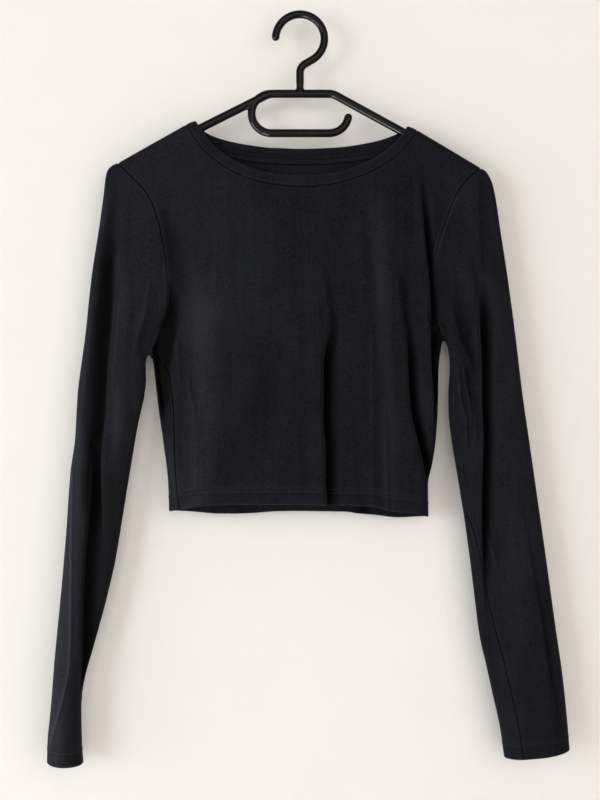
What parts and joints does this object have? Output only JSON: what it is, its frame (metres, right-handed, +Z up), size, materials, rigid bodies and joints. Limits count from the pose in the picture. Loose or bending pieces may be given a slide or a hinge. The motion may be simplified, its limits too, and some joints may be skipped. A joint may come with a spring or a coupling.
{
  "type": "long-sleeved crop top on a hanger",
  "caption": "Black jersey crop top with a round neck and long slim sleeves, hanging creased on a black plastic tube hanger with an open loop under its bar.",
  "frame": {"origin": "inside of the hook's crown, where the hanger rests on what holds it up", "axes": "+Z up, the garment's front faces -Y, the wearer's left is +X"},
  "size_m": [0.522, 0.0398, 0.7525],
  "materials": {
    "jersey": "washed black cotton jersey, matt, slightly faded",
    "tape": "self-fabric neck tape, matt",
    "plastic": "moulded black plastic, semi-gloss"
  },
  "bodies": {
    "root": {"front": "jersey", "back": "jersey", "sleeve_left": "jersey", "sleeve_right": "jersey", "neckband": "jersey", "neck_tape": "tape", "hanger": "plastic"}
  },
  "joints": []
}
